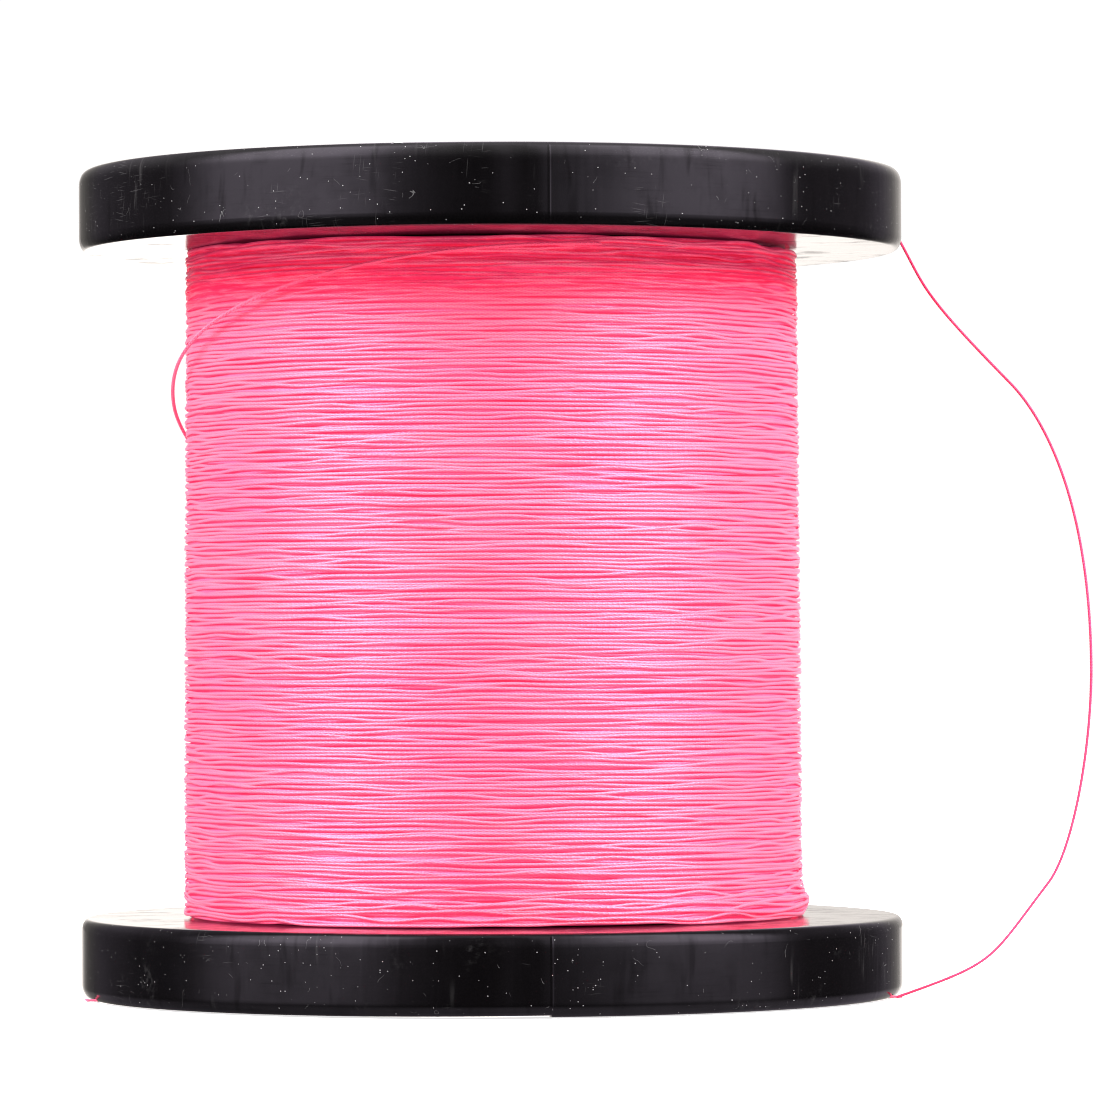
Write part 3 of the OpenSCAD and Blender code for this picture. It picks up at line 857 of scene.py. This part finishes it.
# ---------------------------------------------------------------- the winding
TURN_STEPS = 180
TURN_AZ = np.linspace(180, 540, TURN_STEPS + 1)[:-1]
LAYERS = [(0.58, 1), (0.57, -1), (0.58, 1), (0.585, -1)]    # pitch, 1 for up or -1 for down
FIRST_Z = Z_LO + 0.10 + LINE_R
LAST_Z = Z_HI - 0.10 - LINE_R
REACH_BACK = 430            # earlier turns that a turn may rest on


def smooth_noise(count, knots, amp):
    """A smooth random curve with about one swing per knots samples."""
    c = rng.normal(0, 1, int(count / knots) + 4)
    x = np.arange(count) / knots
    i = x.astype(int)
    t = x - i
    p0, p1, p2, p3 = c[i], c[i + 1], c[i + 2], c[i + 3]
    return amp * 0.5 * (2 * p1 + (p2 - p0) * t + (2 * p0 - 5 * p1 + 4 * p2 - p3) * t * t
                        + (3 * p1 - p0 - 3 * p2 + p3) * t ** 3)


def layer_heights(pitch, way):
    """Heights of one layer's strand, a row for each turn."""
    lo, hi = FIRST_Z, LAST_Z
    turns = int((hi - lo) / pitch)
    count = turns * TURN_STEPS
    # spacing varies from turn to turn, so turns bunch and leave gaps
    step = np.clip(1 + smooth_noise(count, TURN_STEPS * 1.0, 0.10)
                   + smooth_noise(count, TURN_STEPS * 2.3, 0.05), 0.45, 1.7)
    z = np.cumsum(step)
    z = (z - z[0]) / (z[-1] - z[0])
    z = lo + (hi - lo) * z
    # every strand wanders, so neighbours cross at small angles; most of all near the flanges
    sway = (smooth_noise(count, 4.2, 0.115) + smooth_noise(count, 11.0, 0.075)
            + smooth_noise(count, 34.0, 0.05) + smooth_noise(count, TURN_STEPS * 1.3, 0.05))
    z += sway * (1 + 1.5 * np.exp(-(hi - z) / 5.0) + 0.5 * np.exp(-(z - lo) / 3.0))
    if way < 0:
        z = (lo + hi) - z
    # strands pushed against a flange pile up beside it instead of passing it
    z = np.where(z > hi - 0.6, hi - 0.6 + 0.72 * np.tanh((z - hi + 0.6) / 0.6), z)
    z = np.where(z < lo + 0.6, lo + 0.6 - 0.6 * np.tanh((lo + 0.6 - z) / 0.6), z)
    return z.reshape(turns, TURN_STEPS)


def wind():
    """Lays turn on turn as a traverse winder does, each strand resting on what lies under it.

    Returns height and radius, a row for each turn, and each turn's layer number.
    """
    layers = [layer_heights(pitch, way) for pitch, way in LAYERS]
    heights = np.concatenate(layers)
    layer_of = np.concatenate([np.full(len(p), i) for i, p in enumerate(layers)]).astype(int)
    top = layer_of == layer_of.max()
    slack = 0.17 * np.abs(smooth_noise(heights.size, 7.0, 1.0)).reshape(heights.shape) ** 1.4
    slack = 0.19 * np.tanh(slack / 0.22)
    diameter = 2 * LINE_R
    smoother = np.hanning(7)
    smoother /= smoother.sum()
    radii = np.zeros_like(heights)
    for k, z in enumerate(heights):
        base = wound_radius(z) - LINE_R - 3.45 * LAYER_RISE
        rest = base
        first = max(0, k - REACH_BACK)
        if k > first:
            gap = np.abs(heights[first:k] - z)
            climb = np.sqrt(np.clip(diameter * diameter - gap * gap, 0, None)) * 0.86
            rest = np.maximum(rest, np.where(gap < diameter, radii[first:k] + climb, 0).max(0))
        # under tension a strand never climbs far above its own layer
        limit = base + 0.30 * layer_of[k]
        rest = np.where(rest > limit, limit + 0.20 * np.tanh((rest - limit) / 0.20), rest)
        # taut line bridges small hollows
        before = radii[k - 1, -10:] if k else rest[:10]
        padded = np.concatenate([before, rest, rest[-1:].repeat(10)])
        taut = np.convolve(padded, smoother, "same")[10:-10]
        radii[k] = np.maximum(taut, rest - 0.05) + (slack[k] if top[k] else 0)
    # seat the outside of the top layer on the winding's cone
    radii -= (radii[top] - wound_radius(heights[top])).mean() + LINE_R * 0.75
    # the last turns against the bottom flange spread a little on the right
    rightness = np.clip(np.cos(np.radians(TURN_AZ)[None, :] - math.radians(88)), 0, 1)
    radii += 1.1 * np.exp(-((heights - 14.2) / 1.5) ** 2) * rightness ** 1.5
    # and the winding is a hair fuller on that side
    radii += 0.30 * rightness ** 2
    return heights, radii, layer_of


def winding_piece(name, rows, sides, material):
    """A run of turns as one tube, carried on to the next turn of the same layer."""
    z = WOUND_Z[rows].ravel()
    r = WOUND_R[rows].ravel()
    az = np.tile(TURN_AZ, len(rows)) + 360 * np.repeat(np.arange(len(rows)), TURN_STEPS)
    after = rows[-1] + 1
    if after < len(WOUND_Z) and LAYER_OF[after] == LAYER_OF[rows[-1]]:
        z = np.append(z, WOUND_Z[after, 0])
        r = np.append(r, WOUND_R[after, 0])
        az = np.append(az, az[-1] + 360 / TURN_STEPS)
    path = polar(az, r, z)
    outward = polar(az, 1.0, 0.0)
    across = np.cross(unit(np.gradient(path, axis=0)), outward)
    tubes = Tubes()
    tubes.tube(path, outward, across, sides, LINE_R * 0.80, LINE_R * 1.14,
               start=float(rows[0]) * 3.1, phase=math.pi / sides)
    return tubes.build(name, material)


def winding():
    """The last three layers, in pieces of limited size."""
    top = int(LAYER_OF.max())
    node = "wound_line"     # replaced by the first piece only
    for layer in range(top - 2, top + 1):
        rows = np.nonzero(LAYER_OF == layer)[0]
        sides, material = (8, LINE) if layer == top else (6, LINE_LOWER)
        per_piece = int(190000 / (TURN_STEPS * sides * 2))
        for start in range(0, len(rows), per_piece):
            ob = winding_piece(f"winding_layer{layer}_{start // per_piece:02d}",
                               rows[start:start + per_piece], sides, material)
            place(ob, "spool", node)
            node = None


def packed_turns():
    """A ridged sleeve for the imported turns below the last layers."""
    inner, end = 40.3, 0.35
    section = [(inner, Z_LO + end)]
    for i, z in enumerate(np.linspace(Z_LO + end, Z_HI - end, 380)):
        ridge = 0.09 * math.cos(i * math.pi)
        section.append((wound_radius(z) - LINE_R - 2.6 * LAYER_RISE - 0.35 + ridge, z))
    section.append((inner, Z_HI - end))
    ob = lathe("winding_packed_turns", section, LINE_CORE, count=224, sharp=None)
    place(ob, "spool")


WOUND_Z, WOUND_R, LAYER_OF = wind()
winding()
packed_turns()


# ---------------------------------------------------------------- loose strands
def braided(name, strands, body, node, material=LINE_GEO):
    """One object of braided strands, each given as (path, ref, radius)."""
    tubes = Tubes()
    for path, ref, radius in strands:
        braid(tubes, path, ref, radius)
    return place(tubes.build(name, material), body, node)


TAIL_BOW = 29.6
# Bezier knots from the upper hold down to the groove: share of the straight distance from
# the groove, share of the bow, heading in degrees, handle before and handle after in mm
TAIL_KNOTS = [
    (1, 0, 29, 10.4, 10.4),
    (0.798, 0.598, 43.5, 21.7, 6.5),
    (0.43, 1, 0, 26.8, 11.9),
    (0.147, 0.768, -37, 6.6, 15.3),
    (0, 0, -70, 16, 16),
]


def tail():
    """The free end, bowing out to the right between its two holds."""
    foot = polar(GROOVE_AZ, HOLD_R, UNDER_Z)
    chord = polar(HOLD_AZ, HOLD_R, HOLD_Z) - foot
    length = np.linalg.norm(chord)
    along = chord / length
    sideways = np.array([1.0, 0, 0]) - along[0] * along
    sideways /= np.linalg.norm(sideways)

    def knot_point(knot):
        return np.array([knot[0] * length, knot[1] * TAIL_BOW])

    def knot_heading(knot):
        angle = math.radians(knot[2])
        return np.array([-math.cos(angle), math.sin(angle)])

    t = np.linspace(0, 1, 60, endpoint=False)[:, None]
    spans = []
    for knot, after in zip(TAIL_KNOTS[:-1], TAIL_KNOTS[1:]):
        p0, p3 = knot_point(knot), knot_point(after)
        p1 = p0 + knot_heading(knot) * knot[4]
        p2 = p3 - knot_heading(after) * after[3]
        spans.append((1 - t) ** 3 * p0 + 3 * (1 - t) ** 2 * t * p1
                     + 3 * (1 - t) * t * t * p2 + t ** 3 * p3)
    flat = np.concatenate(spans + [np.zeros((1, 2)), [[-0.20, -0.12]]])
    path = foot + flat[:, :1] * along + flat[:, 1:] * sideways
    ob = braided("tail_braid", [(path, (0, 1, 0), 0.205)], "free_end", "line_tail", LINE_FREE)
    # too fine to show in the rims, which are only half glossy
    ob.visible_glossy = False


def smoothstep(t):
    t = np.clip(t, 0, 1)
    return t * t * (3 - 2 * t)


def slack_turn():
    """A loose turn falling across the front of the winding, standing off it on the left."""
    start = 20
    az = np.linspace(start, -125, 160)
    z = Z_HI - 1.5 - 52 * ((start - az) / 170) ** 2.11
    stand_off = 1.3 * smoothstep((-az - 8) / 70) * (1 - smoothstep((-az - 92) / 30))
    path = polar(az, wound_radius(z) + LINE_R + 0.06 + stand_off + 0.36, z)
    braided("slack_turn_braid", [(path, (0, 0, 1), 0.275)], "slack", "loose_turn", LINE_SLACK)


def lead_out():
    """From the winding through the slot in the top rim, then round the rim to the upper hold."""
    z = Z_HI - 0.65
    r = wound_radius(z) + LINE_R + LINE_GAP
    slot_r = RADIUS - 2
    rim_r = RADIUS + LINE_R + LINE_GAP
    leave_az = SLOT_AZ + math.degrees(math.acos(r / slot_r))    # tangent to the winding
    points = [polar(leave_az + 24 - 6 * k, r, z) for k in range(5)]
    leave = polar(leave_az, r, z)
    reach = polar(SLOT_AZ, slot_r - 0.6, Z_HI - 0.5)
    points += [leave + (reach - leave) * k / 3.4 for k in (1, 2, 3)]
    points += [polar(SLOT_AZ + 0.15, slot_r - 0.8, Z_HI - 0.35),
               polar(SLOT_AZ, slot_r, Z_HI + 1.2),
               polar(SLOT_AZ, slot_r + 0.75, HOLD_Z - 0.5),
               polar(SLOT_AZ, RADIUS - 0.5, HOLD_Z),
               polar(SLOT_AZ - 0.22, RADIUS + 0.08, HOLD_Z),
               polar(SLOT_AZ - 0.6, rim_r, HOLD_Z)]
    start, end = SLOT_AZ - 1.2, HOLD_AZ + math.degrees(0.6 / rim_r)
    points += [polar(start + (end - start) * k / 14, rim_r, HOLD_Z) for k in range(15)]
    braided("lead_out_braid", [(catmull(points, 10), (0.3, 0.75, -0.6), LINE_R)],
            "spool", "lead_out")


def under_run():
    """Along the groove under the bottom flange to the cut end on the left."""
    right = polar(GROOVE_AZ, RADIUS - 0.1, UNDER_Z)
    left = polar(GROOVE_AZ_LEFT, RADIUS - 0.6, UNDER_Z)
    points = [right - (left - right) * 0.0022]
    points += [right + (left - right) * k / 8 for k in range(9)]
    points += [polar(GROOVE_AZ_LEFT - 0.15, RADIUS + 0.25, UNDER_Z - 0.02),
               polar(GROOVE_AZ_LEFT - 0.9, RADIUS + 0.75, UNDER_Z + 0.10)]
    braided("under_run_braid", [(catmull(points, 10), (0, 1, 0.1), 0.19)],
            "spool", "under_run", LINE_SLACK)


def first_end():
    """The first end through its hole, with a trefoil stop knot in the pocket."""
    centre = polar(START_AZ, START_R, 0.0)
    z = np.linspace(POCKET - 2.6, FLANGE + 0.25, 40)
    stem = np.stack([centre[0] + 0 * z, centre[1] + 0 * z, z], -1)
    t = np.linspace(0, 2 * np.pi, 90)
    knot = np.stack([0.46 * (np.sin(t) + 2 * np.sin(2 * t)) / 2.2,
                     0.46 * (np.cos(t) - 2 * np.cos(2 * t)) / 2.2,
                     -0.42 * np.sin(3 * t)], -1)
    knot += np.array([centre[0], centre[1], POCKET - 0.98])
    braided("first_end_knot", [(stem, (0, 1, 0), LINE_R), (knot, (0.3, 0.2, 1), 0.2)],
            "spool", "line_start")


tail()
slack_turn()
lead_out()
under_run()
first_end()

# ---------------------------------------------------------------- studio
WHITE = (1, 1, 1, 1)
HORIZON_PEAK = 3.0          # brightness at the white end of the ramp
# azimuth, brightness at the horizon
HORIZON = [
    (-180, 1.5), (-175, 1.6), (-170, 0.65), (-164, 0.25), (-150, 0.13), (-100, 0.08),
    (-91, 0.33), (-80, 1.12), (-70, 1.32), (-45, 1.40), (-34, 0.95), (-25, 0.30),
    (-15, 0.10), (-5, 0.02), (1.5, 0.02), (4.5, 0.24), (8, 0.03), (14, 0.02),
    (16, 0.28), (30, 0.6), (44, 1.2), (66, 1.40), (80, 1.02), (91, 0.18), (98, 0.08),
    (126, 0.09), (140, 0.17), (151, 0.30), (160, 0.55), (170, 0.9), (175, 1.02), (180, 1.3),
]


def surroundings(net, direction):
    """Brightness in a direction: two soft boxes, a white sweep behind, dark round the camera."""
    x, y, z = net.xyz(direction)
    share = net.azimuth(x, y) / (2 * math.pi) + 0.5
    stops = [((az + 180) / 360, level / HORIZON_PEAK) for az, level in HORIZON]
    horizon = net.ramp(share, stops) * HORIZON_PEAK
    taller = net.step(z, start=0.07, end=0.40, low=1.0, high=1.9)
    overhead = net.step(z, start=0.82, end=0.98)
    below = net.step(z, start=-0.40, end=-0.07, low=0.14, high=1.0)
    return (horizon * taller * (1.0 - overhead) + overhead * 0.5) * below


def surroundings_tint(net, direction):
    """A cool violet cast at the front and sides, a warm one on the sweep behind."""
    behind = net.step(net.xyz(direction)[1], start=0.75, end=0.93)
    return net.mix(behind, (1.0, 0.88, 1.06, 1), (1.0, 0.935, 0.885, 1))


def build_world():
    """White to the camera, dim to diffuse rays and the soft boxes to all others."""
    world = bpy.data.worlds.new("Studio")
    scene.world = world
    net = Net(world)
    world.cycles.sampling_method = "NONE"
    direction = net.source("ShaderNodeTexCoord", "Generated")
    camera_ray = net.source("ShaderNodeLightPath", "Is Camera Ray")
    glossy_ray = net.source("ShaderNodeLightPath", "Is Glossy Ray")
    diffuse_ray = net.source("ShaderNodeLightPath", "Is Diffuse Ray")
    height = net.xyz(direction)[2]
    dim = net.step(height, start=0.0, end=0.9, low=0.12, high=0.55) * diffuse_ray
    lit = net.shader(
        "ShaderNodeBackground",
        Color=net.mix(glossy_ray, WHITE, surroundings_tint(net, direction)),
        Strength=surroundings(net, direction) * (1.0 - diffuse_ray) + dim)
    seen = net.shader("ShaderNodeBackground", Color=WHITE, Strength=1.05)
    net.output(net.mix_shader(camera_ray, lit, seen), "ShaderNodeOutputWorld")


def floor_material():
    """A pale floor that glossy rays see as a mirror of the surroundings."""
    material, net = new_material("PaleFloor")
    geometry = net.new("ShaderNodeNewGeometry")
    path = net.new("ShaderNodeLightPath")
    reverse = net.new("ShaderNodeVectorMath", operation="SCALE")
    incoming = Value(net, geometry.outputs["Incoming"])
    ray = net.fill(reverse, {0: incoming, 1: (0, 0, 0), 3: -1.0})
    ray_x, ray_y, ray_z = net.xyz(ray)
    level_ray = net.vec(ray_x, ray_y, 0.05)
    x, y, _ = net.xyz(Value(net, geometry.outputs["Position"]))
    # a bright ring close round the spool, dimmer on the left
    near = net.step(net.radius(x, y), start=0.0636, end=0.0680, low=0.34, high=0.0)
    near = near * net.step(x, start=-0.045, end=0.010, low=0.45, high=1.0)
    # brighter behind, most of all close in
    reach = net.step(net.radius(x, y), start=0.50, end=1.25, low=1.75, high=0.52)
    back = (net.step(ray_y, start=0.25, end=0.80, low=0.42, high=0.90)
            + net.step(ray_y, start=0.92, end=0.985) * reach)
    fade = net.step(ray_z, start=-0.40, end=-0.07, low=0.12, high=1.0) * back
    mirror = net.shader("ShaderNodeEmission", Color=surroundings_tint(net, ray),
                        Strength=surroundings(net, level_ray) * fade + near)
    grain = net.noise(net.position(), scale=900.0, detail=3.0, rough=0.6)
    pale = net.mix(grain, (0.90, 0.90, 0.90, 1), (0.93, 0.93, 0.93, 1))
    diffuse_ray = Value(net, path.outputs["Is Diffuse Ray"])
    camera_ray = Value(net, path.outputs["Is Camera Ray"])
    surface = net.shader(
        "ShaderNodeBsdfPrincipled",
        Base_Color=net.mix(diffuse_ray, pale, (0.30, 0.30, 0.30, 1)),
        Roughness=0.6,
        Emission_Color=WHITE,
        Emission_Strength=camera_ray.linear(slope=0.7, offset=0.04))
    glossy_ray = Value(net, path.outputs["Is Glossy Ray"])
    net.output(net.mix_shader(glossy_ray, surface, mirror))
    return material


def build_floor():
    material = floor_material()
    bm = bmesh.new()
    bmesh.ops.create_circle(bm, cap_ends=True, radius=6.0, segments=96)
    mesh = bpy.data.meshes.new("floor")
    bm.to_mesh(mesh)
    bm.free()
    mesh.materials.append(material)
    floor = bpy.data.objects.new("floor", mesh)
    floor.location = (0, 0, -0.0002)
    scene.collection.objects.link(floor)


# name, azimuth, elevation, distance, width, height, watts
LIGHTS = [
    ("key_left", -64, 31, 1.05, 0.75, 0.5, 26.5),
    ("key_right", 62, 31, 1.05, 0.75, 0.5, 28.2),
    ("top_soft", 0, 70, 1.2, 0.9, 0.9, 4.0),
    ("front_fill", 2, 5, 1.6, 0.9, 0.4, 1.3),
]


def area_light(name, az, elevation, distance, width, height, watts):
    """An area light aimed at the middle of the spool and hidden from glossy rays."""
    light = bpy.data.lights.new(name, "AREA")
    light.shape = "RECTANGLE"
    light.size, light.size_y = width, height
    light.energy = watts
    ob = bpy.data.objects.new(name, light)
    az, elevation = math.radians(az), math.radians(elevation)
    middle = HEIGHT / 2 * MM
    ob.location = (distance * math.sin(az) * math.cos(elevation),
                   -distance * math.cos(az) * math.cos(elevation),
                   middle + distance * math.sin(elevation))
    aim = Vector((0, 0, middle)) - ob.location
    ob.rotation_euler = aim.to_track_quat("-Z", "Y").to_euler()
    ob.visible_glossy = False
    scene.collection.objects.link(ob)


def build_camera():
    """A long lens in front, level, looking a little to the right."""
    lens, sensor = 202.8, 36.0
    yaw, roll, rise = math.radians(0.619), math.radians(-0.20), math.radians(0.80)
    camera = bpy.data.cameras.new("cam")
    camera.sensor_width = sensor
    camera.lens = lens
    camera.clip_start, camera.clip_end = 0.05, 50.0
    camera.shift_y = lens / sensor * math.tan(rise)
    ob = bpy.data.objects.new("cam", camera)
    ob.location = (0, -0.961, 0.0527)
    look = Vector((math.sin(yaw), math.cos(yaw), 0.0)).to_track_quat("-Z", "Y").to_matrix()
    ob.rotation_euler = (look @ Matrix.Rotation(roll, 3, "Z")).to_euler()
    scene.collection.objects.link(ob)
    scene.camera = ob


build_world()
build_floor()
for entry in LIGHTS:
    area_light(*entry)
build_camera()
scene.cycles.filter_width = 1.1     # crisper than the standard filter
scene.view_settings.view_transform = "Standard"
scene.view_settings.look = "None"
